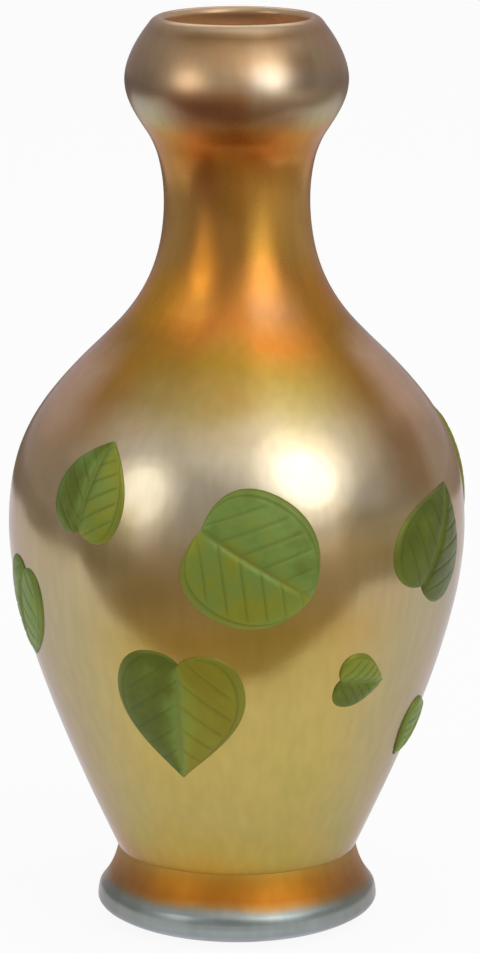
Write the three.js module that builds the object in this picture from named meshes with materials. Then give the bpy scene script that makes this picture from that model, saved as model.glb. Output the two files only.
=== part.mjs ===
// Footed baluster vase of gold lustre glass, with leaves of green glass stuck on its wall and engraved.
// Millimetres, +Z up. The origin is the centre of the ring that the foot rests on, and the front faces -Y.

import * as THREE from "three";

// Heights, stacked from the table to the lip.
const FOOT_RISE = 18.5; // table to the seam where the body is stuck on the foot
const BELLY_RISE = 82; // seam to the widest girth
const SHOULDER_RISE = 48.5; // widest girth to the turn of the shoulder
const NECK_RISE = 34.5; // turn of the shoulder to the narrowest girth
const COLLAR_RISE = 15.5; // narrowest girth to the turn under the bulb
const BULB_RISE = 14; // turn under the bulb to the widest girth of the bulb
const LIP_RISE = 15; // widest girth of the bulb to the edge of the lip

// Outside radii at those heights.
const SEAM_RADIUS = 30;
const BELLY_RADIUS = 56.8;
const SHOULDER_RADIUS = 32.7;
const NECK_RADIUS = 18.2;
const COLLAR_RADIUS = 21.6;
const BULB_RADIUS = 27.7;
const LIP_RADIUS = 20.4;

// Leans of the wall at its turns, in degrees from upright, outwards positive.
const SEAM_LEAN = 25;
const SHOULDER_LEAN = -46;
const COLLAR_LEAN = 31;
const LIP_LEAN = -45;

// Thicknesses of the blown glass.
const WALL = 3;
const FLOOR = 8; // at the axis, between the round bottom and the inside
const BASE_DOME = 5; // how far the round bottom hangs below the seam
const FLOOR_TURN = 20; // length of wall above the seam where the inside starts to turn into the floor

// The foot: a gather of its own, tooled to a round rim and a hollow flare, with a dished seat for the body.
const FOOT_RADIUS = 35.2;
const RIM_GIRTH_RISE = 5; // table to the rim's widest girth
const RIM_TOP_RISE = 9; // table to the end of the rim's round, where the flare starts
const RIM_TURN_IN = 1; // how far the rim has turned in by there
const FLARE_RISE = 12.5; // table to where the flare turns up to the seam
const FLARE_SPREAD = 1.2; // how far that turn stays outside the seam
const REST_INSET = 10.5; // from the rim's widest girth to the edge of the flat ring it stands on
const REST_WIDTH = 5; // width of that ring
const RIM_UNDER = 4; // how far the rim's round stays low outside that ring
const KICK_RISE = 3.5; // height of the hollow under the foot
const PONTIL_RADIUS = 9; // the ground and polished hollow at the middle of the underside
const PONTIL_DEPTH = 1.3;
const SEAT_GAP = 0.3; // clearance between each piece and the glass it is stuck on

// The leaf pads: thickness at the edge and at the crown, and the cut along the middle vein.
const PAD_EDGE = 0.6;
const PAD_CROWN = 1.6;
const MIDRIB_DEPTH = 0.6;

// Each leaf: turn about the axis in degrees (0 in front, to the right positive), length of wall from the
// seam to its middle, its own length and width, where its tip points (degrees clockwise from up), and how
// blunt the tip is (0 drawn out, 1 round).
const LEAVES = [
  { name: "leaf_front_centre", turn: 4.3, climb: 89.8, length: 33, width: 34.5, tip: 122, blunt: 0.9 },
  { name: "leaf_front_left", turn: -40, climb: 105.5, length: 25.5, width: 22, tip: 13, blunt: 0.3 },
  { name: "leaf_front_right", turn: 59, climb: 90.3, length: 29, width: 30.5, tip: 28, blunt: 0.15 },
  { name: "leaf_lower_left", turn: -16.5, climb: 48.5, length: 36, width: 33, tip: 183, blunt: 0 },
  { name: "leaf_small_right", turn: 36, climb: 57, length: 14.5, width: 15, tip: 97, blunt: 0.1 },
  { name: "leaf_left_side", turn: -71, climb: 69.5, length: 27, width: 20, tip: 196, blunt: 0.3 },
  { name: "leaf_right_side", turn: 72, climb: 37, length: 16, width: 15, tip: 205, blunt: 0.1 },
  { name: "leaf_back_right_high", turn: 106, climb: 102, length: 30, width: 28, tip: -14, blunt: 0.3 },
  { name: "leaf_back_right_low", turn: 124, climb: 57, length: 36, width: 34, tip: 172, blunt: 0.1 },
  { name: "leaf_back_centre", turn: 163, climb: 91, length: 34, width: 36, tip: 212, blunt: 0.8 },
  { name: "leaf_back_small", turn: 176, climb: 48, length: 16, width: 15, tip: 250, blunt: 0.1 },
  { name: "leaf_back_left_high", turn: -140, climb: 107, length: 26, width: 25, tip: 20, blunt: 0.2 },
  { name: "leaf_back_left_low", turn: -127, climb: 60, length: 34, width: 32, tip: 163, blunt: 0 },
];

// Steps of the round surfaces.
const TURN_STEPS = 48; // round the axis
const OUTSIDE_STEPS = [7, 8, 6, 4, 5, 5]; // along each stretch of the wall, from the seam up
const INSIDE_STEPS = [5, 6, 5, 3, 4, 4];
const LIP_STEPS = 4;
const SEAT_STEPS = 4;
const CURVE_STEPS = 5;
const LOBE_STEPS = 5; // along each leaf's outline, round a lobe and then to the tip
const FLANK_STEPS = 7;
const TOP_COLUMNS = [-1, -0.86, -0.5, -0.12, 0, 0.12, 0.5, 0.86, 1]; // across a leaf, 0 on its middle vein
const BASE_COLUMNS = [-1, -0.5, 0, 0.5, 1];

const gold = new THREE.MeshStandardMaterial({ color: 0xb49c5a, roughness: 0.18, metalness: 0.9 });
const amber = new THREE.MeshStandardMaterial({ color: 0xa9722e, roughness: 0.2, metalness: 0.85 });
const green = new THREE.MeshStandardMaterial({ color: 0x5f7a2e, roughness: 0.5, metalness: 0 });

const degrees = THREE.MathUtils.degToRad;

// The places where the outside of the body turns. Under and over say how far the wall keeps to the lean
// before and after, as shares of the height to the next place.
function stations() {
  let height = 0;
  const place = (rise, radius, lean, under, over) => {
    height += rise;
    const along = new THREE.Vector2(Math.sin(degrees(lean)), Math.cos(degrees(lean)));
    return { point: new THREE.Vector2(radius, height), along, under, over };
  };
  return [
    place(FOOT_RISE, SEAM_RADIUS, SEAM_LEAN, 0, 0.26),
    place(BELLY_RISE, BELLY_RADIUS, 0, 0.3, 0.45),
    place(SHOULDER_RISE, SHOULDER_RADIUS, SHOULDER_LEAN, 0.52, 0.42),
    place(NECK_RISE, NECK_RADIUS, 0, 0.42, 0.2),
    place(COLLAR_RISE, COLLAR_RADIUS, COLLAR_LEAN, 0.35, 0.35),
    place(BULB_RISE, BULB_RADIUS, 0, 0.4, 0.35),
    place(LIP_RISE, LIP_RADIUS, LIP_LEAN, 0.3, 0),
  ];
}

// The outside of the body from the seam to the lip, as one smooth chain of curves (x is the radius, y the
// height).
function bodyOutline() {
  const chain = new THREE.CurvePath();
  const places = stations();
  places.slice(1).forEach((upper, i) => {
    const lower = places[i];
    const rise = upper.point.y - lower.point.y;
    const start = lower.point.clone().addScaledVector(lower.along, lower.over * rise);
    const end = upper.point.clone().addScaledVector(upper.along, -upper.under * rise);
    chain.add(new THREE.CubicBezierCurve(lower.point, start, end, upper.point));
  });
  return chain;
}

const outline = bodyOutline();
const outlineLength = outline.getLength();

// The square to a curve's run on its outer side, for a curve that climbs.
const outwards = (tangent) => new THREE.Vector2(tangent.y, -tangent.x);

// A point of the wall, and the direction square to it, at a length of wall above the seam.
function wallAt(climb) {
  const share = climb / outlineLength;
  return { point: outline.getPointAt(share), normal: outwards(outline.getTangentAt(share)) };
}

// The body's round bottom, from the axis to the seam. The foot's seat is the same dish, lowered.
function seatPoints(drop) {
  return Array.from({ length: SEAT_STEPS + 1 }, (_, i) => {
    const share = i / SEAT_STEPS;
    const hang = BASE_DOME * (1 - share * share);
    return new THREE.Vector2(SEAM_RADIUS * share, FOOT_RISE - hang - drop);
  });
}

function turned(points) {
  return new THREE.LatheGeometry(points, TURN_STEPS).rotateX(Math.PI / 2);
}

// The inside of the wall, as deep as the wall is thick, from near the seam to the lip.
function insidePoints() {
  return outline.curves.flatMap((curve, i) =>
    Array.from({ length: INSIDE_STEPS[i] }, (_, k) => {
      const share = (k + 1) / INSIDE_STEPS[i];
      return curve.getPoint(share).addScaledVector(outwards(curve.getTangent(share)), -WALL);
    }),
  );
}

// The inside of the bottom: the wall's own lean, turning into a level floor at the axis.
function floorCurve() {
  const turn = wallAt(FLOOR_TURN);
  const start = turn.point.clone().addScaledVector(turn.normal, -WALL);
  const floorHeight = FOOT_RISE - BASE_DOME + FLOOR;
  const downWall = new THREE.Vector2(turn.normal.y, -turn.normal.x).multiplyScalar(start.y - floorHeight);
  const level = new THREE.Vector2(start.x / 2, floorHeight);
  const middle = new THREE.Vector2(0, floorHeight);
  return new THREE.CubicBezierCurve(start, start.clone().add(downWall), level, middle);
}

// The blown body: belly, neck and bulbed mouth are one bubble of even wall, with a rolled lip and a thick
// floor.
function bodyGeometry() {
  const outside = outline.curves.flatMap((curve, i) => curve.getPoints(OUTSIDE_STEPS[i]).slice(1));
  const floor = floorCurve().getPoints(CURVE_STEPS);
  const inside = insidePoints().filter((point) => point.y > floor[0].y + WALL);
  return turned([...seatPoints(0), ...outside, ...lipPoints(), ...inside.reverse(), ...floor]);
}

// The lip: a half round as wide as the wall, from its outside edge to its inside edge.
function lipPoints() {
  const edge = wallAt(outlineLength);
  const along = new THREE.Vector2(-edge.normal.y, edge.normal.x);
  const centre = edge.point.clone().addScaledVector(edge.normal, -WALL / 2);
  return Array.from({ length: LIP_STEPS - 1 }, (_, i) => {
    const angle = (Math.PI * (i + 1)) / LIP_STEPS;
    return centre
      .clone()
      .addScaledVector(edge.normal, (Math.cos(angle) * WALL) / 2)
      .addScaledVector(along, (Math.sin(angle) * WALL) / 2);
  });
}

// The foot, from the axis: a ground pontil and a hollow underside, a flat ring to stand on, a round rim, a
// hollow flare, and the seat that follows the body's round bottom.
function footGeometry() {
  const restOuter = FOOT_RADIUS - REST_INSET;
  const restInner = restOuter - REST_WIDTH;
  const rimTop = FOOT_RADIUS - RIM_TURN_IN;
  const side = new THREE.Path();
  side.moveTo(0, KICK_RISE + PONTIL_DEPTH);
  side.quadraticCurveTo(PONTIL_RADIUS / 2, KICK_RISE + PONTIL_DEPTH, PONTIL_RADIUS, KICK_RISE);
  side.quadraticCurveTo((PONTIL_RADIUS + restInner) / 2, KICK_RISE, restInner, 0);
  side.lineTo(restOuter, 0);
  const roundStart = RIM_GIRTH_RISE * 0.6;
  side.bezierCurveTo(restOuter + RIM_UNDER, 0, FOOT_RADIUS, roundStart, FOOT_RADIUS, RIM_GIRTH_RISE);
  side.quadraticCurveTo(FOOT_RADIUS, RIM_TOP_RISE - RIM_TURN_IN, rimTop, RIM_TOP_RISE);
  side.quadraticCurveTo(SEAM_RADIUS + FLARE_SPREAD, FLARE_RISE, SEAM_RADIUS, FOOT_RISE - SEAT_GAP);
  return turned([...side.getPoints(CURVE_STEPS), ...seatPoints(SEAT_GAP).reverse().slice(1)]);
}

// Half of a leaf's outline, from the shallow notch where its stalk would join, round a lobe and along the
// flank to the tip (x is across, y from the back of the lobes to the tip). The curves' ends and handles are
// shares of the leaf's half width and length, each from a drawn-out leaf's to a blunt one's.
function leafOutline(length, width, blunt) {
  const share = (drawnOut, round) => THREE.MathUtils.lerp(drawnOut, round, blunt);
  const at = (across, along) => new THREE.Vector2((across * width) / 2, along * length);
  const notch = at(0, share(0.08, 0.03));
  const lobeStart = at(share(0.22, 0.5), share(-0.05, -0.02));
  const lobeEnd = at(1, share(-0.07, 0.06));
  const widest = at(1, share(0.31, 0.45));
  const flankStart = at(1, share(0.6, 0.78));
  const flankEnd = at(share(0.26, 0.62), share(0.84, 0.985));
  const lobe = new THREE.CubicBezierCurve(notch, lobeStart, lobeEnd, widest);
  const flank = new THREE.CubicBezierCurve(widest, flankStart, flankEnd, at(0, 1));
  return [...lobe.getPoints(LOBE_STEPS), ...flank.getPoints(FLANK_STEPS).slice(1)];
}

// A leaf pad: a cushion of glass with a heart outline, bent to the wall, with a valley cut along its middle
// vein.
function leafGeometry({ turn, climb, length, width, tip, blunt }) {
  const edge = leafOutline(length, width, blunt);
  const last = edge.length - 1;
  const notch = edge[0].y;
  const tipTurn = degrees(tip);
  const positions = [];
  const triangles = [];

  // The point of the pad on a row (notch to tip) and a column (edge to edge), at a height above the wall.
  const addVertex = (row, column, lift) => {
    const vein = new THREE.Vector2(0, notch + ((length - notch) * row) / last);
    const rim = new THREE.Vector2(Math.sign(column) * edge[row].x, edge[row].y);
    const flat = vein.lerp(rim, Math.abs(column));
    const along = flat.y - length / 2;
    const right = flat.x * Math.cos(tipTurn) + along * Math.sin(tipTurn);
    const up = along * Math.cos(tipTurn) - flat.x * Math.sin(tipTurn);
    const wall = wallAt(climb + up);
    const place = wall.point.clone().addScaledVector(wall.normal, lift);
    const angle = degrees(turn) + right / wall.point.x;
    return positions.push(place.x * Math.sin(angle), -place.x * Math.cos(angle), place.y) / 3 - 1;
  };

  // A face of the pad as rows of vertices. The rows at the notch and at the tip are one vertex each.
  const addFace = (columns, lift) =>
    edge.map((_, row) => {
      const single = row === 0 || row === last ? addVertex(row, 0, lift(row, 1)) : null;
      return columns.map((column) => single ?? addVertex(row, column, lift(row, column)));
    });

  const addTriangle = (a, b, c) => {
    if (a !== b && b !== c && c !== a) triangles.push(a, b, c);
  };
  const addQuad = (a, b, c, d) => {
    addTriangle(a, b, c);
    addTriangle(a, c, d);
  };

  const fullness = (row) => Math.sqrt(Math.sin((Math.PI * row) / last));
  const topLift = (row, column) => {
    const cushion = (PAD_CROWN - PAD_EDGE) * (1 - column * column);
    const cut = column === 0 ? MIDRIB_DEPTH : 0;
    return SEAT_GAP + PAD_EDGE + (cushion - cut) * fullness(row);
  };
  const top = addFace(TOP_COLUMNS, topLift);
  const base = addFace(BASE_COLUMNS, () => SEAT_GAP);

  for (let row = 0; row < last; row++) {
    for (let k = 1; k < TOP_COLUMNS.length; k++) {
      addQuad(top[row][k - 1], top[row][k], top[row + 1][k], top[row + 1][k - 1]);
    }
    for (let k = 1; k < BASE_COLUMNS.length; k++) {
      addQuad(base[row][k], base[row][k - 1], base[row + 1][k - 1], base[row + 1][k]);
    }
    addQuad(top[row][0], top[row + 1][0], base[row + 1][0], base[row][0]);
    addQuad(top[row + 1].at(-1), top[row].at(-1), base[row].at(-1), base[row + 1].at(-1));
  }
  const geometry = new THREE.BufferGeometry();
  geometry.setAttribute("position", new THREE.Float32BufferAttribute(positions, 3));
  geometry.setIndex(triangles);
  geometry.computeVertexNormals();
  return geometry;
}

function piece(name, geometry, material) {
  const mesh = new THREE.Mesh(geometry, material);
  mesh.name = name;
  return mesh;
}

const vase = new THREE.Group();
vase.add(piece("vessel_body", bodyGeometry(), gold));
vase.add(piece("foot", footGeometry(), amber));
LEAVES.forEach((leaf) => vase.add(piece(leaf.name, leafGeometry(leaf), green)));

export default vase;
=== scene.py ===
"""A footed baluster vase of gold lustre glass with engraved green leaves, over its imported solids.

Metres, +Z up. The origin is the centre of the ring that the foot stands on, and the front faces -Y.
"""

import math

import bmesh
import bpy
import numpy as np
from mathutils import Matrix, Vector


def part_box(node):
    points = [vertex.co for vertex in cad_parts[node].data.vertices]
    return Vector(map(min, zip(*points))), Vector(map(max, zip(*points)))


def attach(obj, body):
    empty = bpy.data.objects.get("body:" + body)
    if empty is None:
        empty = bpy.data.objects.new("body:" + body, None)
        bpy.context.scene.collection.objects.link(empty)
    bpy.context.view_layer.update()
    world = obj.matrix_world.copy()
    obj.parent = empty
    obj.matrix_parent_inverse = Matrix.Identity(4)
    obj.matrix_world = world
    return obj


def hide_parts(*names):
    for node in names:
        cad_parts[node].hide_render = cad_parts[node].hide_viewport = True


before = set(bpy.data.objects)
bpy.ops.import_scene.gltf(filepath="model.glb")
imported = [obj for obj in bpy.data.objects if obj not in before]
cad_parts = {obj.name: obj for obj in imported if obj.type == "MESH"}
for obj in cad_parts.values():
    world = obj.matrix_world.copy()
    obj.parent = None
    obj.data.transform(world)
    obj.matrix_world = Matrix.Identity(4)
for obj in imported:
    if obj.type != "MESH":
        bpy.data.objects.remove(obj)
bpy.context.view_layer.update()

# The body is one blown bubble of opaque glass: belly, slim neck and bulbed mouth, with a wall of
# about 3 mm. Metal salts sprayed on the hot glass give it a mirror bright skin, cream gold low
# down, silver on the shoulder, orange on the neck and mauve at the mouth. It stops inside the lip.
BODY_TURNS = 240  # steps round the axis
OUTSIDE_STEPS = 240
LIP_STEPS = 40
INSIDE_STEPS = 90
BASE_STEPS = 8
WOBBLE = 0.00012  # how far the hand-blown wall strays from a true round
CALM_RADIUS = 0.01  # radius within which the straying dies away towards the axis
LIP_FADE = 0.006  # length of wall inside the lip over which the skin fades
LIP_REACH = 0.006  # length of wall on each side of the lip that has finer rings
SEAM_RING = 0.00005  # length of wall from the seam to a ring that keeps the corner there crisp
HAIR = 1e-6  # a distance that counts as none
MERGE_DISTANCE = 1e-7


def wall_rings(node, facing):
    """Radius and height of each ring of a turned node's wall, from the lowest ring up.

    The triangles that look away from the axis (facing 1) or towards it (facing -1) are kept. Of
    their corners, those on the +X side of the axis give one pair for each ring: x is the radius and
    z the height.
    """
    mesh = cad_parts[node].data
    mesh.calc_loop_triangles()
    points = np.empty(len(mesh.vertices) * 3)
    mesh.vertices.foreach_get("co", points)
    corners = np.empty(len(mesh.loop_triangles) * 3, int)
    mesh.loop_triangles.foreach_get("vertices", corners)
    triangles = points.reshape(-1, 3)[corners].reshape(-1, 3, 3)
    normals = np.cross(triangles[:, 1] - triangles[:, 0], triangles[:, 2] - triangles[:, 0])
    outwards = np.einsum("ij,ij->i", normals[:, :2], triangles.mean(axis=1)[:, :2])
    kept = triangles[facing * outwards > 0].reshape(-1, 3)
    kept = kept[(np.abs(kept[:, 1]) < HAIR) & (kept[:, 0] > -HAIR)]
    rings = np.unique(np.round(kept[:, [2, 0]], 6), axis=0)
    return rings[:, ::-1]


def line_length(points):
    """Lengths along a line of points, from its first point to each of them."""
    return np.concatenate([[0], np.cumsum(np.linalg.norm(np.diff(points, axis=0), axis=1))])


def trace(points, lengths):
    """The places at given lengths along a smooth line through the points.

    Between two neighbours the line is a cubic that leaves and meets them along their own slopes,
    and the slope at a point is taken from the chords on both sides of it (a Hermite curve).
    """
    run = line_length(points)
    slopes = np.gradient(points, run, axis=0)
    k = np.clip(np.searchsorted(run, lengths, side="right") - 1, 0, len(run) - 2)
    step = (run[k + 1] - run[k])[..., None]
    t = (lengths - run[k])[..., None] / step
    start = (1 + 2 * t) * (1 - t) ** 2 * points[k] + t * (1 - t) ** 2 * step * slopes[k]
    end = t**2 * (3 - 2 * t) * points[k + 1] + t**2 * (t - 1) * step * slopes[k + 1]
    return start + end


def even_trace(points, steps):
    """A smooth line through the points, as places spread evenly along its length."""
    return trace(points, np.linspace(0, line_length(points)[-1], steps + 1))


def stray(azimuth, height):
    """How far the wall lies outside a true round: two slow waves round the axis, of two and of
    three swells, that drift with the height."""
    slow = np.sin(2 * azimuth + 34 * height + 1.3)
    quick = np.sin(3 * azimuth - 61 * height + 0.4)
    return WOBBLE * (slow + 0.6 * quick)


def turned_points(profile, turns, wander=None):
    """A profile of radii and heights carried round the axis: each place, at the azimuth a (0 in
    front, to the right positive), lies at (r sin a, -r cos a, z). A wander adds its own distance to
    the radius, less near the axis."""
    azimuth = np.linspace(0, 2 * np.pi, turns + 1)
    azimuth[-1] = 0
    radius = profile[:, :1] * np.ones_like(azimuth)
    height = profile[:, 1:] * np.ones_like(azimuth)
    if wander is not None:
        radius = radius + wander(azimuth, height) * np.minimum(radius / CALM_RADIUS, 1)
    return np.stack([radius * np.sin(azimuth), -radius * np.cos(azimuth), height], axis=-1)


def grid_faces(rows, columns, first=0):
    """Corner numbers of the four-sided faces of a grid whose points are numbered row by row."""
    corner = first + np.arange(rows * columns).reshape(rows, columns)
    sides = [corner[:-1, :-1], corner[:-1, 1:], corner[1:, 1:], corner[1:, :-1]]
    return np.stack(sides, axis=-1).reshape(-1, 4)


def closed_piece(name, points, faces, **attributes):
    """A smooth-shaded object of these points and faces, with points that coincide merged, as at a
    pole or a seam. Each attribute is one number for each point."""
    mesh = bpy.data.meshes.new(name)
    mesh.from_pydata(points.tolist(), [], faces.tolist())
    for title, values in attributes.items():
        layer = mesh.attributes.new(title, "FLOAT", "POINT")
        layer.data.foreach_set("value", np.ascontiguousarray(values, np.float32).ravel())
    work = bmesh.new()
    work.from_mesh(mesh)
    bmesh.ops.remove_doubles(work, verts=work.verts, dist=MERGE_DISTANCE)
    work.to_mesh(mesh)
    work.free()
    mesh.shade_smooth()
    piece = bpy.data.objects.new(name, mesh)
    bpy.context.scene.collection.objects.link(piece)
    return piece


outer_rings = wall_rings("vessel_body", 1)
inner_rings = wall_rings("vessel_body", -1)
seam_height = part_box("foot")[1].z
base_line = outer_rings[outer_rings[:, 1] < seam_height]
wall_line = outer_rings[outer_rings[:, 1] > seam_height]
bubble_line = np.vstack([wall_line, inner_rings[::-1][1:]])
lip_length = line_length(wall_line)[-1]
lip_ends = [lip_length - LIP_REACH, lip_length + LIP_REACH]
bubble_lengths = np.concatenate([
    [0],
    np.linspace(SEAM_RING, lip_ends[0], OUTSIDE_STEPS, endpoint=False),
    np.linspace(*lip_ends, LIP_STEPS, endpoint=False),
    np.linspace(lip_ends[1], line_length(bubble_line)[-1], INSIDE_STEPS + 1),
])
base_profile = even_trace(np.vstack([base_line, wall_line[:1]]), BASE_STEPS)[:-1]
body_profile = np.vstack([base_profile, trace(bubble_line, bubble_lengths)])
body_points = turned_points(body_profile, BODY_TURNS, stray)
past_lip = (bubble_lengths - lip_length) / LIP_FADE
past_lip = np.concatenate([np.zeros(len(base_profile)), past_lip])
vessel_body = closed_piece(
    "vessel_body_skin",
    body_points.reshape(-1, 3),
    grid_faces(*body_points.shape[:2]),
    inside=np.clip(past_lip, 0, 1)[:, None] * np.ones(BODY_TURNS + 1),
)

VASE_HEIGHT = 0.2285
TINT_DRIFT = 0.005  # how far the tints' borders stray up and down
BULB_DRIFT = 0.15  # share of that straying that is left on the bulb
SILVER_SHEEN_SHARE = 0.66
CLOUD_SHARE = 0.22
SKIN_METAL = 0.95
LINING_METAL = 0.15
DIMPLE_STRENGTH = 0.03
DIMPLE_DEPTH = 0.0006


def srgb(red, green, blue):
    """The shader's colour for one given as on a screen, from 0 to 255."""
    share = np.array([red, green, blue]) / 255
    linear = np.where(share <= 0.04045, share / 12.92, ((share + 0.055) / 1.055) ** 2.4)
    return (*linear.tolist(), 1.0)


def add_node(tree, kind, inputs=None, **settings):
    """A new shader node. Each of its named inputs gets a value, or a link where the value is a
    node's output."""
    node = tree.nodes.new(kind)
    for title, value in settings.items():
        setattr(node, title, value)
    for title, value in (inputs or {}).items():
        if isinstance(value, bpy.types.NodeSocket):
            tree.links.new(value, node.inputs[title])
        else:
            node.inputs[title].default_value = value
    return node


def ramp(tree, factor, stops):
    """Colours blended along a factor, from pairs of a place on it and a colour."""
    node = add_node(tree, "ShaderNodeValToRGB", {"Fac": factor})
    elements = node.color_ramp.elements
    while len(elements) < len(stops):
        elements.new(0.5)
    for element, (place, colour) in zip(elements, stops):
        element.position = place
        element.color = colour
    return node.outputs["Color"]


def mix(tree, factor, first, second, blend="MIX"):
    """Two colours blended by a factor."""
    inputs = {0: factor, 6: first, 7: second}
    node = add_node(tree, "ShaderNodeMix", inputs, data_type="RGBA", blend_type=blend)
    return node.outputs[2]


def remap(tree, value, low, high, to_low=0.0, to_high=1.0, kind="LINEAR"):
    """A value's range carried over to another range, and held at its ends."""
    ends = {"From Min": low, "From Max": high, "To Min": to_low, "To Max": to_high}
    inputs = {"Value": value, **ends}
    return add_node(tree, "ShaderNodeMapRange", inputs, interpolation_type=kind).outputs["Result"]


def rise(tree, value, low, high, kind="SMOOTHSTEP"):
    """0 where the value lies below a range, and 1 above it."""
    return remap(tree, value, low, high, 0.0, 1.0, kind)


def fall(tree, value, low, high, kind="SMOOTHSTEP"):
    """1 where the value lies below a range, and 0 above it."""
    return remap(tree, value, low, high, 1.0, 0.0, kind)


def total(tree, first, second, operation="ADD"):
    """The sum of two values, or another operation on them."""
    inputs = {0: first, 1: second}
    return add_node(tree, "ShaderNodeMath", inputs, operation=operation).outputs["Value"]


def overlap(tree, first, *others):
    """The product of factors, each from 0 to 1: it is 1 only where all of them are."""
    for other in others:
        first = total(tree, first, other, "MULTIPLY")
    return first


def noise(tree, place, scale, detail=2.0, stretch=(1.0, 1.0, 1.0)):
    """Cloudy variation from 0 to 1, with about scale blotches to a metre, drawn out along an axis
    by a stretch."""
    inputs = {"Vector": place, "Scale": stretch}
    spread = add_node(tree, "ShaderNodeMapping", inputs).outputs["Vector"]
    inputs = {"Vector": spread, "Scale": scale, "Detail": detail}
    return add_node(tree, "ShaderNodeTexNoise", inputs).outputs["Fac"]


def round_axis(tree, place):
    """A place's height, and two measures of its azimuth: the sine, which is 1 at the right and -1
    at the left, and the sine's size, which is 1 at both sides."""
    x, y, height = add_node(tree, "ShaderNodeSeparateXYZ", {"Vector": place}).outputs
    rightward = total(tree, total(tree, x, y, "ARCTAN2"), 0.0, "SINE")
    return height, rightward, total(tree, rightward, 0.0, "ABSOLUTE")


def new_finish(name):
    """A new material, its node tree, its main shader and the places of the surface in the frame."""
    material = bpy.data.materials.new(name)
    material.use_nodes = True
    tree = material.node_tree
    shader = next(node for node in tree.nodes if node.type == "BSDF_PRINCIPLED")
    place = add_node(tree, "ShaderNodeTexCoord").outputs["Object"]
    return material, tree, shader, place


lustre, tree, shader, place = new_finish("body_lustre")
height, rightward, sideways = round_axis(tree, place)
drift = remap(tree, noise(tree, place, 22, 3), 0.25, 0.75, -TINT_DRIFT, TINT_DRIFT)
drift = total(tree, drift, remap(tree, height, 0.185, 0.2, 1.0, BULB_DRIFT), "MULTIPLY")
level = remap(tree, total(tree, height, drift), 0.0, VASE_HEIGHT)

# The skin's tints from the seam to the lip, by share of the vase's height: in front, on the right
# from the shoulder up, on the left of the neck, and on both flanks. In front, the dark band from
# 0.894 to 0.921 is painted shade on the bulb's underside, and the dark stop at 0.990, just under
# the lip, is a painted dark reflection.
front_skin = ramp(tree, level, [
    (0.081, srgb(182, 140, 54)),
    (0.105, srgb(176, 151, 76)),
    (0.144, srgb(177, 157, 90)),
    (0.215, srgb(186, 165, 93)),
    (0.285, srgb(188, 166, 95)),
    (0.376, srgb(186, 160, 92)),
    (0.466, srgb(206, 185, 146)),
    (0.520, srgb(222, 208, 180)),
    (0.557, srgb(223, 207, 176)),
    (0.607, srgb(184, 159, 95)),
    (0.648, srgb(181, 140, 51)),
    (0.688, srgb(212, 131, 54)),
    (0.760, srgb(200, 138, 62)),
    (0.820, srgb(194, 142, 72)),
    (0.880, srgb(179, 106, 41)),
    (0.894, srgb(150, 98, 50)),
    (0.902, srgb(134, 91, 58)),
    (0.912, srgb(139, 96, 74)),
    (0.921, srgb(158, 107, 82)),
    (0.934, srgb(204, 158, 120)),
    (0.945, srgb(220, 182, 139)),
    (0.955, srgb(216, 179, 135)),
    (0.967, srgb(202, 161, 118)),
    (0.978, srgb(180, 144, 102)),
    (0.990, srgb(134, 99, 61)),
    (1.000, srgb(214, 186, 150)),
])
# On the right the skin is paler from the shoulder up: painted highlight where the right softboxes
# reflect on the neck and the bulb.
right_skin_highlight = ramp(tree, level, [
    (0.557, srgb(223, 207, 176)),
    (0.582, srgb(215, 197, 156)),
    (0.607, srgb(202, 179, 117)),
    (0.630, srgb(197, 167, 84)),
    (0.645, srgb(208, 159, 68)),
    (0.667, srgb(230, 144, 56)),
    (0.700, srgb(196, 137, 82)),
    (0.735, srgb(202, 134, 60)),
    (0.761, srgb(213, 152, 61)),
    (0.790, srgb(217, 161, 73)),
    (0.820, srgb(215, 160, 81)),
    (0.845, srgb(201, 134, 64)),
    (0.860, srgb(178, 105, 40)),
    (0.870, srgb(178, 106, 40)),
    (0.880, srgb(179, 113, 43)),
    (0.894, srgb(152, 106, 57)),
    (0.902, srgb(139, 105, 72)),
    (0.912, srgb(151, 121, 96)),
    (0.921, srgb(182, 152, 131)),
    (0.934, srgb(226, 203, 177)),
    (0.945, srgb(225, 205, 180)),
    (0.955, srgb(214, 189, 159)),
    (0.967, srgb(190, 159, 123)),
    (0.980, srgb(171, 141, 105)),
    (0.990, srgb(136, 103, 67)),
    (1.000, srgb(214, 188, 154)),
])
# On the left of the neck the brighter orange is painted highlight, the streak of the left softbox.
left_skin_highlight = ramp(tree, level, [
    (0.660, srgb(194, 137, 50)),
    (0.680, srgb(206, 130, 53)),
    (0.690, srgb(227, 140, 59)),
    (0.700, srgb(250, 160, 70)),
    (0.720, srgb(242, 156, 66)),
    (0.740, srgb(211, 134, 47)),
    (0.760, srgb(186, 121, 43)),
    (0.780, srgb(179, 118, 49)),
    (0.800, srgb(182, 125, 60)),
    (0.820, srgb(185, 126, 74)),
    (0.840, srgb(175, 113, 53)),
    (0.860, srgb(164, 90, 29)),
    (0.880, srgb(179, 106, 41)),
])
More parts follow.
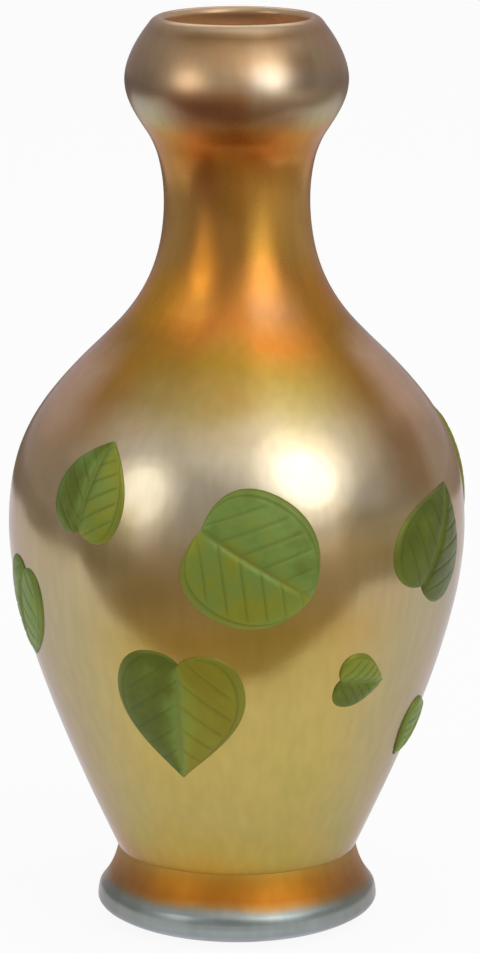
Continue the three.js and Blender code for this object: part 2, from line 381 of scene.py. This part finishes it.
# On both flanks the colours are partly the lustre's tint and partly painted reflection, of what the
# flanks catch at a slant.
side_skin = ramp(tree, level, [
    (0.081, srgb(166, 132, 66)),
    (0.105, srgb(166, 150, 92)),
    (0.144, srgb(173, 157, 109)),
    (0.376, srgb(172, 161, 126)),
    (0.466, srgb(181, 161, 126)),
    (0.557, srgb(196, 164, 127)),
    (0.607, srgb(184, 132, 68)),
    (0.637, srgb(193, 136, 55)),
    (0.665, srgb(189, 135, 47)),
    (0.692, srgb(200, 136, 44)),
    (0.720, srgb(201, 138, 52)),
    (0.754, srgb(199, 151, 79)),
    (0.799, srgb(198, 154, 88)),
    (0.860, srgb(172, 119, 50)),
    (0.880, srgb(175, 129, 57)),
    (0.896, srgb(171, 159, 115)),
    (0.908, srgb(171, 162, 135)),
    (0.921, srgb(160, 146, 123)),
    (0.936, srgb(152, 130, 108)),
    (0.955, srgb(172, 144, 115)),
    (0.980, srgb(180, 152, 121)),
    (0.990, srgb(176, 144, 112)),
    (1.000, srgb(204, 174, 140)),
])
# The paler right side, from the shoulder up, is painted highlight.
paler_painted_highlight = overlap(tree, rise(tree, rightward, 0.0, 0.22), rise(tree, level, 0.545, 0.57, "LINEAR"))
# The brighter orange on the left of the neck is painted highlight.
left_painted_highlight = overlap(
    tree,
    fall(tree, rightward, -0.38, -0.15),
    rise(tree, level, 0.655, 0.67, "LINEAR"),
    fall(tree, level, 0.87, 0.885, "LINEAR"),
)
flank = rise(tree, sideways, 0.4, 0.86)
skin = mix(tree, left_painted_highlight, mix(tree, paler_painted_highlight, front_skin, right_skin_highlight), left_skin_highlight)
skin = mix(tree, flank, skin, side_skin)

# Painted light in patches: a warm patch low on the left of the neck is painted highlight, silver on
# both sides of the shoulder is painted sheen, umber on both sides of the belly and bronze on the
# right of the shoulder are painted dark reflections, and a dusky patch on the right of the bulb is
# painted shade.
warm_painted_highlight = overlap(
    tree,
    fall(tree, rightward, -0.4, -0.2),
    rise(tree, level, 0.665, 0.685, "LINEAR"),
    fall(tree, level, 0.72, 0.75, "LINEAR"),
)
skin = mix(tree, warm_painted_highlight, skin, (1.14, 1.22, 1.0, 1.0), "MULTIPLY")
# Painted sheen: paler silver on both sides of the shoulder.
silver_painted_sheen = overlap(
    tree,
    remap(tree, sideways, 0.74, 0.93, 0.0, SILVER_SHEEN_SHARE, "SMOOTHSTEP"),
    rise(tree, level, 0.55, 0.6),
    fall(tree, level, 0.635, 0.675),
)
skin = mix(tree, silver_painted_sheen, skin, srgb(244, 206, 175))
# Painted dark reflection: darker arms on both sides of the belly's widest place.
umber_dark_reflection = overlap(
    tree,
    rise(tree, sideways, 0.38, 0.5),
    fall(tree, sideways, 0.62, 0.76),
    rise(tree, level, 0.43, 0.465),
    fall(tree, level, 0.495, 0.52),
)
skin = mix(tree, umber_dark_reflection, skin, (0.8, 0.76, 0.64, 1.0), "MULTIPLY")
# Painted dark reflection: a darker patch on the right of the shoulder.
bronze_dark_reflection = overlap(
    tree,
    rise(tree, rightward, 0.6, 0.8),
    fall(tree, rightward, 0.83, 0.91),
    rise(tree, level, 0.47, 0.52),
    fall(tree, level, 0.56, 0.605),
)
skin = mix(tree, bronze_dark_reflection, skin, (0.72, 0.63, 0.51, 1.0), "MULTIPLY")
# Painted shade: a darker patch on the right of the bulb.
dusk_painted_shade = overlap(
    tree,
    rise(tree, rightward, 0.34, 0.55),
    fall(tree, rightward, 0.6, 0.8),
    rise(tree, level, 0.922, 0.938),
    fall(tree, level, 0.96, 0.985),
)
skin = mix(tree, dusk_painted_shade, skin, (0.63, 0.58, 0.53, 1.0), "MULTIPLY")

# Rose and green clouds float in the skin, and fine streaks run up it as the bubble was drawn out.
cloud = ramp(tree, noise(tree, place, 34, 4, (1.0, 1.0, 0.55)), [
    (0.30, srgb(197, 162, 148)),
    (0.46, srgb(188, 188, 188)),
    (0.56, srgb(190, 190, 186)),
    (0.72, srgb(150, 184, 160)),
])
skin = mix(tree, CLOUD_SHARE, skin, cloud, "OVERLAY")
streaks = noise(tree, place, 420, 2, (1.0, 1.0, 0.08))
skin = mix(tree, 1.0, skin, remap(tree, streaks, 0.3, 0.7, 0.95, 1.03), "MULTIPLY")
inside = add_node(tree, "ShaderNodeAttribute", attribute_name="inside").outputs["Fac"]
lining = mix(tree, noise(tree, place, 60, 3), srgb(252, 220, 180), srgb(238, 198, 152))
tree.links.new(mix(tree, inside, skin, lining), shader.inputs["Base Color"])
haze = remap(tree, noise(tree, place, 90, 4), 0.3, 0.75, 0.16, 0.25)
haze = total(tree, haze, remap(tree, height, 0.14, 0.165, 0.0, 0.09, "SMOOTHSTEP"))
haze = total(tree, haze, remap(tree, height, 0.2, 0.21, 0.0, 0.02, "SMOOTHSTEP"))
tree.links.new(haze, shader.inputs["Roughness"])
metal = remap(tree, inside, 0.0, 1.0, SKIN_METAL, LINING_METAL)
tree.links.new(metal, shader.inputs["Metallic"])
shader.inputs["Specular Tint"].default_value = srgb(232, 224, 234)
dimples = noise(tree, place, 260, 3)
bump = {"Strength": DIMPLE_STRENGTH, "Distance": DIMPLE_DEPTH, "Height": dimples}
relief = add_node(tree, "ShaderNodeBump", bump)
tree.links.new(relief.outputs["Normal"], shader.inputs["Normal"])
vessel_body.data.materials.append(lustre)
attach(vessel_body, "root")
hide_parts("vessel_body")

# The foot is a second gather of the same glass, stuck under the body while hot and tooled to a
# round rim and a hollow flare. The flare is deep orange and the rim, which cooled first, silver
# grey. Underneath are a ground and polished pontil and the narrow flat ring that it stands on.
FOOT_TURNS = 200
UNDERSIDE_STEPS = 50
SIDE_STEPS = 80
SEAT_STEPS = 10
TUCK = 0.0007  # how far the flare's edge runs up into the body's wall, where the two are fused
CREASE_ANGLE = math.radians(40)
FOOT_HEIGHT = 0.0185
RIM_DRIFT = 0.0008  # how far the border between rim and flare strays up and down
FLANK_SHADE = 0.44
FOOT_METAL = 0.95


def section_rings(node):
    """Radius and height of the rings of a solid turned node, in order round the middle of its
    section."""
    rings = np.unique(np.vstack([wall_rings(node, 1), wall_rings(node, -1)]), axis=0)
    from_middle = rings - (rings.min(axis=0) + rings.max(axis=0)) / 2
    bearing = np.arctan2(from_middle[:, 1], from_middle[:, 0])
    return rings[np.argsort((bearing + np.pi) % (2 * np.pi))]


foot_rings = section_rings("foot")
ring_inner, ring_outer = np.flatnonzero(foot_rings[:, 1] < HAIR)[[0, -1]]
flare_top = np.argmax(foot_rings[:, 1])
side_profile = even_trace(foot_rings[ring_outer : flare_top + 1], SIDE_STEPS)
tuck = side_profile[-1] - side_profile[-2]
foot_profile = np.vstack([
    even_trace(foot_rings[: ring_inner + 1], UNDERSIDE_STEPS),
    side_profile,
    side_profile[-1:] + tuck * TUCK / np.linalg.norm(tuck),
    even_trace(foot_rings[flare_top:], SEAT_STEPS)[1:],
])
foot_points = turned_points(foot_profile, FOOT_TURNS)
foot = closed_piece("foot_skin", foot_points.reshape(-1, 3), grid_faces(*foot_points.shape[:2]))
foot.data.set_sharp_from_angle(angle=CREASE_ANGLE)
foot_lustre, tree, shader, place = new_finish("foot_lustre")
height, _, sideways = round_axis(tree, place)
drift = remap(tree, noise(tree, place, 40, 3), 0.25, 0.75, -RIM_DRIFT, RIM_DRIFT)
level = remap(tree, total(tree, height, drift), 0.0, FOOT_HEIGHT)
skin = ramp(tree, level, [
    (0.00, srgb(120, 128, 132)),
    (0.14, srgb(142, 150, 153)),
    (0.49, srgb(156, 164, 160)),
    (0.58, srgb(178, 132, 72)),
    (0.66, srgb(186, 117, 36)),
    (0.87, srgb(192, 130, 41)),
    (1.00, srgb(192, 146, 60)),
])
# Painted shade: the foot turns greyer and darker towards its flanks.
shade = remap(tree, sideways, 0.5, 0.95, 0.0, FLANK_SHADE, "SMOOTHSTEP")
skin = mix(tree, shade, skin, srgb(114, 105, 88))
streaks = remap(tree, noise(tree, place, 300, 2, (1.0, 1.0, 0.2)), 0.3, 0.7, 0.93, 1.05)
tree.links.new(mix(tree, 1.0, skin, streaks, "MULTIPLY"), shader.inputs["Base Color"])
haze = remap(tree, noise(tree, place, 120, 4), 0.3, 0.75, 0.26, 0.36)
haze = total(tree, haze, remap(tree, level, 0.45, 0.7, 0.0, 0.2, "SMOOTHSTEP"))
tree.links.new(haze, shader.inputs["Roughness"])
shader.inputs["Metallic"].default_value = FOOT_METAL
shader.inputs["Specular Tint"].default_value = srgb(240, 236, 242)
foot.data.materials.append(foot_lustre)
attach(foot, "root")
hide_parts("foot")

# The leaves are pads of green glass stuck on the hot wall, ground to heart outlines and engraved at
# the wheel: a valley along the middle vein, shallow cuts for the side veins and a fine line inside
# the edge. Grinding leaves them satin, so the bright lights in the wall stop at their edges.
LEAF_ROWS = 110
LEAF_HALF_COLUMNS = 54
LEAF_BASE_COLUMNS = 9
CURVE_STEPS = 40  # places on each of an outline's two curves
PAD_EDGE = 0.0006
PAD_CROWN = 0.0016
PAD_SINK = 0.0004  # how deep the pad's underside is fused into the wall
PAD_SQUARENESS = 16  # power of the rounding at the pad's edge
MIDRIB_DEPTH = 0.0007
MIDRIB_WIDTH = 0.0009
VEIN_DEPTH = 0.0002
VEIN_WIDTH = 0.00034
VEIN_SPACING = 0.18  # share of the leaf's length between side veins
VEIN_LEAN = math.radians(50)  # from the middle vein
VEIN_START = 0.1  # share of the half width over which a side vein begins
VEIN_END = 0.15  # share of the half width over which it dies away before the fine line
BORDER_AT = 0.87  # share of the way from the middle vein to the edge where the fine line runs
BORDER_DEPTH = 0.00012
BORDER_WIDTH = 0.02
TONE_BLEND = 0.35  # share of the half width over which one half's tone turns into the other's
SLOPE_STEP = 1e-4  # length of wall over which its slope is taken
LEAF_METAL = 0.3
LEAF_GLOSS = 0.3
STROKE_STRENGTH = 0.1
STROKE_DEPTH = 0.0003

# Name, turn about the axis in degrees, length of wall from the seam to the leaf's middle, length,
# width, where the tip points in degrees clockwise from up, how blunt the tip is, and the tones of
# its left and right half.
LEAVES = [
    ("leaf_front_centre", 4.3, 0.0898, 0.033, 0.0345, 122, 0.9, 0.48, 0.68),
    ("leaf_front_left", -40, 0.1055, 0.0255, 0.022, 13, 0.3, 0.36, 0.66),
    ("leaf_front_right", 59, 0.0903, 0.029, 0.0305, 28, 0.15, 0.2, 0.05),
    ("leaf_lower_left", -16.5, 0.0485, 0.036, 0.033, 183, 0.0, 0.92, 0.2),
    ("leaf_small_right", 36, 0.057, 0.0145, 0.015, 97, 0.1, 0.62, 0.34),
    ("leaf_left_side", -71, 0.0695, 0.027, 0.020, 196, 0.3, 0.5, 0.45),
    ("leaf_right_side", 72, 0.037, 0.016, 0.015, 205, 0.1, 0.6, 0.5),
    ("leaf_back_right_high", 106, 0.102, 0.030, 0.028, -14, 0.3, 0.95, 0.5),
    ("leaf_back_right_low", 124, 0.057, 0.036, 0.034, 172, 0.1, 0.2, 0.85),
    ("leaf_back_centre", 163, 0.091, 0.034, 0.036, 212, 0.8, 0.4, 0.68),
    ("leaf_back_small", 176, 0.048, 0.016, 0.015, 250, 0.1, 0.3, 0.25),
    ("leaf_back_left_high", -140, 0.107, 0.026, 0.025, 20, 0.2, 0.5, 0.3),
    ("leaf_back_left_low", -127, 0.060, 0.034, 0.032, 163, 0.0, 0.8, 0.2),
]


def bezier(start, first, second, end, t):
    """Places on a cubic curve between two points that leans towards two handles."""
    u = 1 - t
    return u**3 * start + 3 * u**2 * t * first + 3 * u * t**2 * second + t**3 * end


def leaf_edge(length, width, blunt, rows):
    """Half of a leaf's outline (across, along), from the notch round a lobe to its widest place and
    along the flank to the tip. The two curves' ends and handles are shares of the half width and of
    the length, each from a drawn-out leaf's to a blunt one's."""
    size = np.array([width / 2, length])

    def share(drawn_out, round_ended):
        return drawn_out + (round_ended - drawn_out) * blunt

    notch = size * [0, share(0.08, 0.03)]
    lobe_start = size * [share(0.22, 0.5), share(-0.05, -0.02)]
    lobe_end = size * [1, share(-0.07, 0.06)]
    widest = size * [1, share(0.31, 0.45)]
    flank_start = size * [1, share(0.6, 0.78)]
    flank_end = size * [share(0.26, 0.62), share(0.84, 0.985)]
    tip = size * [0, 1]
    t = np.linspace(0, 1, CURVE_STEPS)[:, None]
    lobe = bezier(notch, lobe_start, lobe_end, widest, t)
    flank = bezier(widest, flank_start, flank_end, tip, t)
    return even_trace(np.vstack([lobe, flank[1:]]), rows)


def leaf_flat(edge, across):
    """A leaf's flat places by row and column: from the middle vein, which runs from notch to tip,
    straight to the outline, so that the column is 0 on the vein and 1 or -1 on the edge."""
    share = np.linspace(0, 1, len(edge))[:, None]
    vein = np.stack([0 * share, edge[:1, 1] + (edge[-1:, 1] - edge[:1, 1]) * share], axis=-1)
    rim = np.stack([np.sign(across) * edge[:, :1], edge[:, 1:] * np.ones_like(across)], axis=-1)
    return vein + (rim - vein) * np.abs(across)[..., None]


def on_wall(turn, climb, tip, flat, length, lift):
    """Places of a flat leaf bent onto the wall. The leaf is turned so that its tip points the way
    it says. Its height then runs along the wall's own line, its breadth runs round the axis, and
    the lift stands square to the wall."""
    along = flat[..., 1] - length / 2
    right = flat[..., 0] * np.cos(tip) + along * np.sin(tip)
    up = along * np.cos(tip) - flat[..., 0] * np.sin(tip)
    spot = trace(wall_line, climb + up)
    ahead = trace(wall_line, climb + up + SLOPE_STEP) - spot
    ahead = ahead / np.linalg.norm(ahead, axis=-1, keepdims=True)
    azimuth = turn + right / spot[..., 0]
    radius = spot[..., 0] + stray(azimuth, spot[..., 1]) + lift * ahead[..., 1]
    height = spot[..., 1] - lift * ahead[..., 0]
    return np.stack([radius * np.sin(azimuth), -radius * np.cos(azimuth), height], axis=-1)


# A leaf's lift from the wall is a cushion, highest along the middle vein and rounded off at the
# edge, less the valley of the middle vein, the cuts of the side veins and the fine line. All of
# them fade towards the notch and the tip.
columns = np.sin(np.linspace(-np.pi / 2, np.pi / 2, 2 * LEAF_HALF_COLUMNS + 1))[None, :]
base_columns = np.linspace(-1, 1, LEAF_BASE_COLUMNS)[None, :]
fullness = np.sqrt(np.sin(np.linspace(0, np.pi, LEAF_ROWS + 1)))[:, None]
rounding = (1 - columns**PAD_SQUARENESS) ** 0.5
crown = (PAD_CROWN - PAD_EDGE) * (1 - columns**2)
border = np.exp(-(((np.abs(columns) - BORDER_AT) / BORDER_WIDTH) ** 2)) * fullness
vein_begins = np.clip(np.abs(columns) / VEIN_START, 0, 1)
vein_ends = np.clip((BORDER_AT - np.abs(columns)) / VEIN_END, 0, 1)
sunk = np.full((LEAF_ROWS + 1, 1), -PAD_SINK)
leaf_pieces = []
for name, turn, climb, length, width, tip, blunt, left_tone, right_tone in LEAVES:
    edge = leaf_edge(length, width, blunt, LEAF_ROWS)
    flat = leaf_flat(edge, columns)
    midrib = np.exp(-((flat[..., 0] / MIDRIB_WIDTH) ** 2)) * fullness
    spacing = VEIN_SPACING * length
    sweep = (flat[..., 1] - np.abs(flat[..., 0]) / math.tan(VEIN_LEAN)) / spacing
    apart = np.abs(sweep - np.round(sweep)) * spacing
    veins = np.exp(-((apart / VEIN_WIDTH) ** 2)) * vein_begins * vein_ends * fullness
    pad = (PAD_EDGE + PAD_SINK) * rounding * fullness**0.25 - PAD_SINK + crown * fullness
    lift = pad - MIDRIB_DEPTH * midrib - VEIN_DEPTH * veins - BORDER_DEPTH * border
    setting = (math.radians(turn), climb, math.radians(tip))
    top = on_wall(*setting, flat, length, lift)
    base = on_wall(*setting, leaf_flat(edge, base_columns), length, sunk)
    top_faces = grid_faces(*top.shape[:2])
    base_faces = grid_faces(*base.shape[:2], first=lift.size)[:, ::-1]
    hidden = np.zeros(base.shape[:2]).ravel()
    tone = np.interp(columns, [-TONE_BLEND, TONE_BLEND], [left_tone, right_tone])
    tone = tone * np.ones_like(lift)
    rim = np.abs(columns) * np.ones_like(lift)
    cuts = np.maximum(veins, border)
    piece = closed_piece(
        name + "_engraved",
        np.vstack([top.reshape(-1, 3), base.reshape(-1, 3)]),
        np.vstack([top_faces, base_faces]),
        tone=np.concatenate([tone.ravel(), hidden]),
        midrib=np.concatenate([midrib.ravel(), hidden]),
        cuts=np.concatenate([cuts.ravel(), hidden]),
        rim=np.concatenate([rim.ravel(), hidden]),
    )
    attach(piece, "root")
    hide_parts(name)
    leaf_pieces.append(piece)

leaf_glass, tree, shader, place = new_finish("leaf_glass")
tone, midrib, rim, cuts = (
    add_node(tree, "ShaderNodeAttribute", attribute_name=title).outputs["Fac"]
    for title in ("tone", "midrib", "rim", "cuts")
)
mottle = remap(tree, noise(tree, place, 130, 4), 0.25, 0.75, -0.16, 0.16)
green = ramp(tree, total(tree, tone, mottle), [
    (0.0, srgb(77, 88, 28)),
    (0.3, srgb(98, 110, 29)),
    (0.5, srgb(117, 142, 65)),
    (0.7, srgb(137, 141, 42)),
    (1.0, srgb(135, 125, 28)),
])
green = mix(tree, remap(tree, midrib, 0.1, 0.9, 0, 0.6), green, srgb(122, 125, 46))
green = mix(tree, remap(tree, rim, 0.84, 0.97, 0, 0.5), green, srgb(118, 122, 42))
# Painted shade: the engraved cuts are coloured darker.
green = mix(tree, remap(tree, cuts, 0.0, 1.0, 0, 0.35), green, srgb(62, 72, 24))
tree.links.new(green, shader.inputs["Base Color"])
haze = remap(tree, noise(tree, place, 240, 3), 0.3, 0.75, 0.36, 0.5)
tree.links.new(haze, shader.inputs["Roughness"])
shader.inputs["Metallic"].default_value = LEAF_METAL
shader.inputs["Specular IOR Level"].default_value = LEAF_GLOSS
strokes = noise(tree, place, 900, 2, (1.0, 1.0, 0.35))
bump = {"Strength": STROKE_STRENGTH, "Distance": STROKE_DEPTH, "Height": strokes}
relief = add_node(tree, "ShaderNodeBump", bump)
tree.links.new(relief.outputs["Normal"], shader.inputs["Normal"])
for piece in leaf_pieces:
    piece.data.materials.append(leaf_glass)

# The floor is a wide pale sheet that keeps the vase's shadow. Where the photograph's table ends, a
# dark surround that only reflections see gives the skin its dark bands, as black cards do in a
# studio.
FLOOR_RADIUS = 6.0
FLOOR_SIDES = 96
FLOOR_GREY = 0.9
FLOOR_GLOW = 0.92  # share of plain white in the floor, so that it reads as a white ground
TABLE_LEFT = -0.58
TABLE_RIGHT = 0.26
TABLE_FRONT = -0.12
TABLE_SKEW = -0.07  # how far the table's front edge runs back for each metre to the right
TABLE_BACK = 0.6
TABLE_SPLAY = 0.4  # how much farther right the table's right edge lies at its back
TABLE_CELL = 4  # number of the grid's cell that the table leaves open in the surround
SURROUND = 4.0
SURROUND_HEIGHT = 0.0004
MATT = 0.9


def flat_sheet(name, points, faces, finish):
    """A flat sheet of the stage, from its points and faces."""
    mesh = bpy.data.meshes.new(name)
    mesh.from_pydata(points.tolist(), [], faces.tolist())
    mesh.materials.append(finish)
    sheet = bpy.data.objects.new(name, mesh)
    bpy.context.scene.collection.objects.link(sheet)
    return sheet


floor_white, tree, shader, place = new_finish("floor_white")
shader.inputs["Base Color"].default_value = (FLOOR_GREY, FLOOR_GREY, FLOOR_GREY, 1)
shader.inputs["Roughness"].default_value = MATT
ray = add_node(tree, "ShaderNodeLightPath").outputs
seen = total(tree, ray["Is Camera Ray"], ray["Is Glossy Ray"])
seen = total(tree, seen, ray["Is Transmission Ray"])
share = total(tree, seen, FLOOR_GLOW, "MULTIPLY")
white = add_node(tree, "ShaderNodeEmission", {"Color": (1, 1, 1, 1), "Strength": 1.0})
inputs = {"Fac": share, 1: shader.outputs["BSDF"], 2: white.outputs["Emission"]}
floor_mix = add_node(tree, "ShaderNodeMixShader", inputs)
output = next(node for node in tree.nodes if node.type == "OUTPUT_MATERIAL")
tree.links.new(floor_mix.outputs["Shader"], output.inputs["Surface"])
turns = np.linspace(0, 2 * np.pi, FLOOR_SIDES, endpoint=False)
floor_points = FLOOR_RADIUS * np.stack([np.cos(turns), np.sin(turns), 0 * turns], axis=-1)
flat_sheet("floor", floor_points, np.arange(FLOOR_SIDES)[None, :], floor_white)

surround_brown, tree, shader, place = new_finish("surround_brown")
east = add_node(tree, "ShaderNodeSeparateXYZ", {"Vector": place}).outputs["X"]
earth = ramp(tree, remap(tree, east, -1.0, 1.0), [
    (0.00, (0.48, 0.45, 0.42, 1)),
    (0.25, (0.32, 0.28, 0.18, 1)),
    (0.40, (0.30, 0.23, 0.11, 1)),
    (0.52, (0.47, 0.37, 0.19, 1)),
    (0.63, (0.38, 0.335, 0.225, 1)),
    (0.75, (0.52, 0.46, 0.33, 1)),
    (0.85, (0.60, 0.55, 0.42, 1)),
    (0.95, (0.70, 0.66, 0.57, 1)),
])
away = add_node(tree, "ShaderNodeVectorMath", {0: place}, operation="LENGTH").outputs["Value"]
earth = mix(tree, fall(tree, away, 0.13, 0.26, "LINEAR"), earth, (0.6, 0.46, 0.24, 1))
tree.links.new(earth, shader.inputs["Base Color"])
shader.inputs["Roughness"].default_value = MATT
sheet_x, sheet_y = np.meshgrid(
    [-SURROUND, TABLE_LEFT, TABLE_RIGHT, SURROUND],
    [-SURROUND, TABLE_FRONT, TABLE_BACK, SURROUND],
)
sheet_y[1] += TABLE_SKEW * np.clip(sheet_x[1], TABLE_LEFT, TABLE_RIGHT)
sheet_x[2:, 2] += TABLE_SPLAY
sheet_z = np.full_like(sheet_x, SURROUND_HEIGHT)
surround_points = np.stack([sheet_x, sheet_y, sheet_z], axis=-1).reshape(-1, 3)
surround_faces = np.delete(grid_faces(4, 4), TABLE_CELL, axis=0)
surround = flat_sheet("surround", surround_points, surround_faces, surround_brown)
for kind in ("camera", "diffuse", "transmission", "volume_scatter", "shadow"):
    setattr(surround, "visible_" + kind, False)

# The studio's soft light: two softboxes in front, right and left, each a pale cloth with a bulb's
# brighter patch in its middle, a dim one low on the right and a weak one behind, in a room that
# glows from high up on the right.
ROOM = 0.36
BEHIND = 0.12
GLOWS = [(45, 62, 0.95), (-75, 56, 0.3), (115, 8, 0.12)]  # azimuth, elevation and brightness
GLOW_REACH = math.radians(50)  # how far from its middle a glow fades out
LAMP_AIM = Vector((0, 0, 0.1135))

# Name, azimuth and elevation in degrees, distance, width, height and radiance.
SOFTBOXES = [
    ("right_softbox", 38, 31, 1.1, 1.02, 1.2, 0.5),
    ("right_bulb", 38, 31, 1.07, 0.58, 0.72, 1.1),
    ("left_softbox", -51.5, 17.5, 1.1, 0.82, 0.96, 0.3),
    ("left_bulb", -51.5, 17.5, 1.07, 0.5, 0.64, 0.7),
    ("low_softbox", 42, 6, 1.1, 0.7, 0.5, 0.25),
    ("back_softbox", 180, 50, 1.4, 1.2, 0.7, 1.0),
]


def towards(azimuth, elevation):
    """The direction at an azimuth (0 in front, to the right positive) and an elevation, in degrees:
    (sin a cos e, -cos a cos e, sin e)."""
    turn, climb = math.radians(azimuth), math.radians(elevation)
    reach = math.cos(climb)
    return Vector((math.sin(turn) * reach, -math.cos(turn) * reach, math.sin(climb)))


def softbox(name, azimuth, elevation, distance, width, height, radiance):
    """A soft oval lamp aimed at the vase's middle. A flat lamp of that area and brightness gives
    off pi times both."""
    out = towards(azimuth, elevation)
    lamp = bpy.data.lights.new(name, "AREA")
    lamp.shape = "ELLIPSE"
    lamp.size = width
    lamp.size_y = height
    lamp.energy = radiance * math.pi * (math.pi / 4 * width * height)
    holder = bpy.data.objects.new(name, lamp)
    holder.location = LAMP_AIM + out * distance
    holder.rotation_mode = "QUATERNION"
    holder.rotation_quaternion = out.to_track_quat("Z", "Y")
    bpy.context.scene.collection.objects.link(holder)


world = bpy.data.worlds.new("studio")
bpy.context.scene.world = world
world.use_nodes = True
tree = world.node_tree
direction = add_node(tree, "ShaderNodeTexCoord").outputs["Generated"]
part = add_node(tree, "ShaderNodeSeparateXYZ", {"Vector": direction}).outputs
strength = remap(tree, part["Y"], 0.2, 1.0, ROOM, ROOM + BEHIND)
for azimuth, elevation, brightness in GLOWS:
    inputs = {0: direction, 1: towards(azimuth, elevation)}
    nearness = add_node(tree, "ShaderNodeVectorMath", inputs, operation="DOT_PRODUCT")
    away = total(tree, nearness.outputs["Value"], 0.0, "ARCCOSINE")
    strength = total(tree, strength, remap(tree, away, 0.0, GLOW_REACH, brightness, 0.0))
background = next(node for node in tree.nodes if node.type == "BACKGROUND")
background.inputs["Color"].default_value = (1, 1, 1, 1)
tree.links.new(strength, background.inputs["Strength"])
for row in SOFTBOXES:
    softbox(*row)

# The camera stands 1.25 m in front of the vase and looks down on it a little, through a long lens.
PHOTO_HEIGHT = 953
FOCAL_PIXELS = 5124
SENSOR = 36
CAMERA_PLACE = Vector((0, -1.25, 0.3825))
CAMERA_AIM = Vector((0.00075, 0, 0.113))
camera_data = bpy.data.cameras.new("camera")
camera_data.sensor_width = SENSOR
camera_data.lens = FOCAL_PIXELS / PHOTO_HEIGHT * SENSOR
camera = bpy.data.objects.new("camera", camera_data)
camera.location = CAMERA_PLACE
camera.rotation_mode = "QUATERNION"
camera.rotation_quaternion = (CAMERA_AIM - CAMERA_PLACE).to_track_quat("-Z", "Y")
bpy.context.scene.collection.objects.link(camera)
bpy.context.scene.camera = camera
bpy.context.scene.view_settings.view_transform = "Standard"
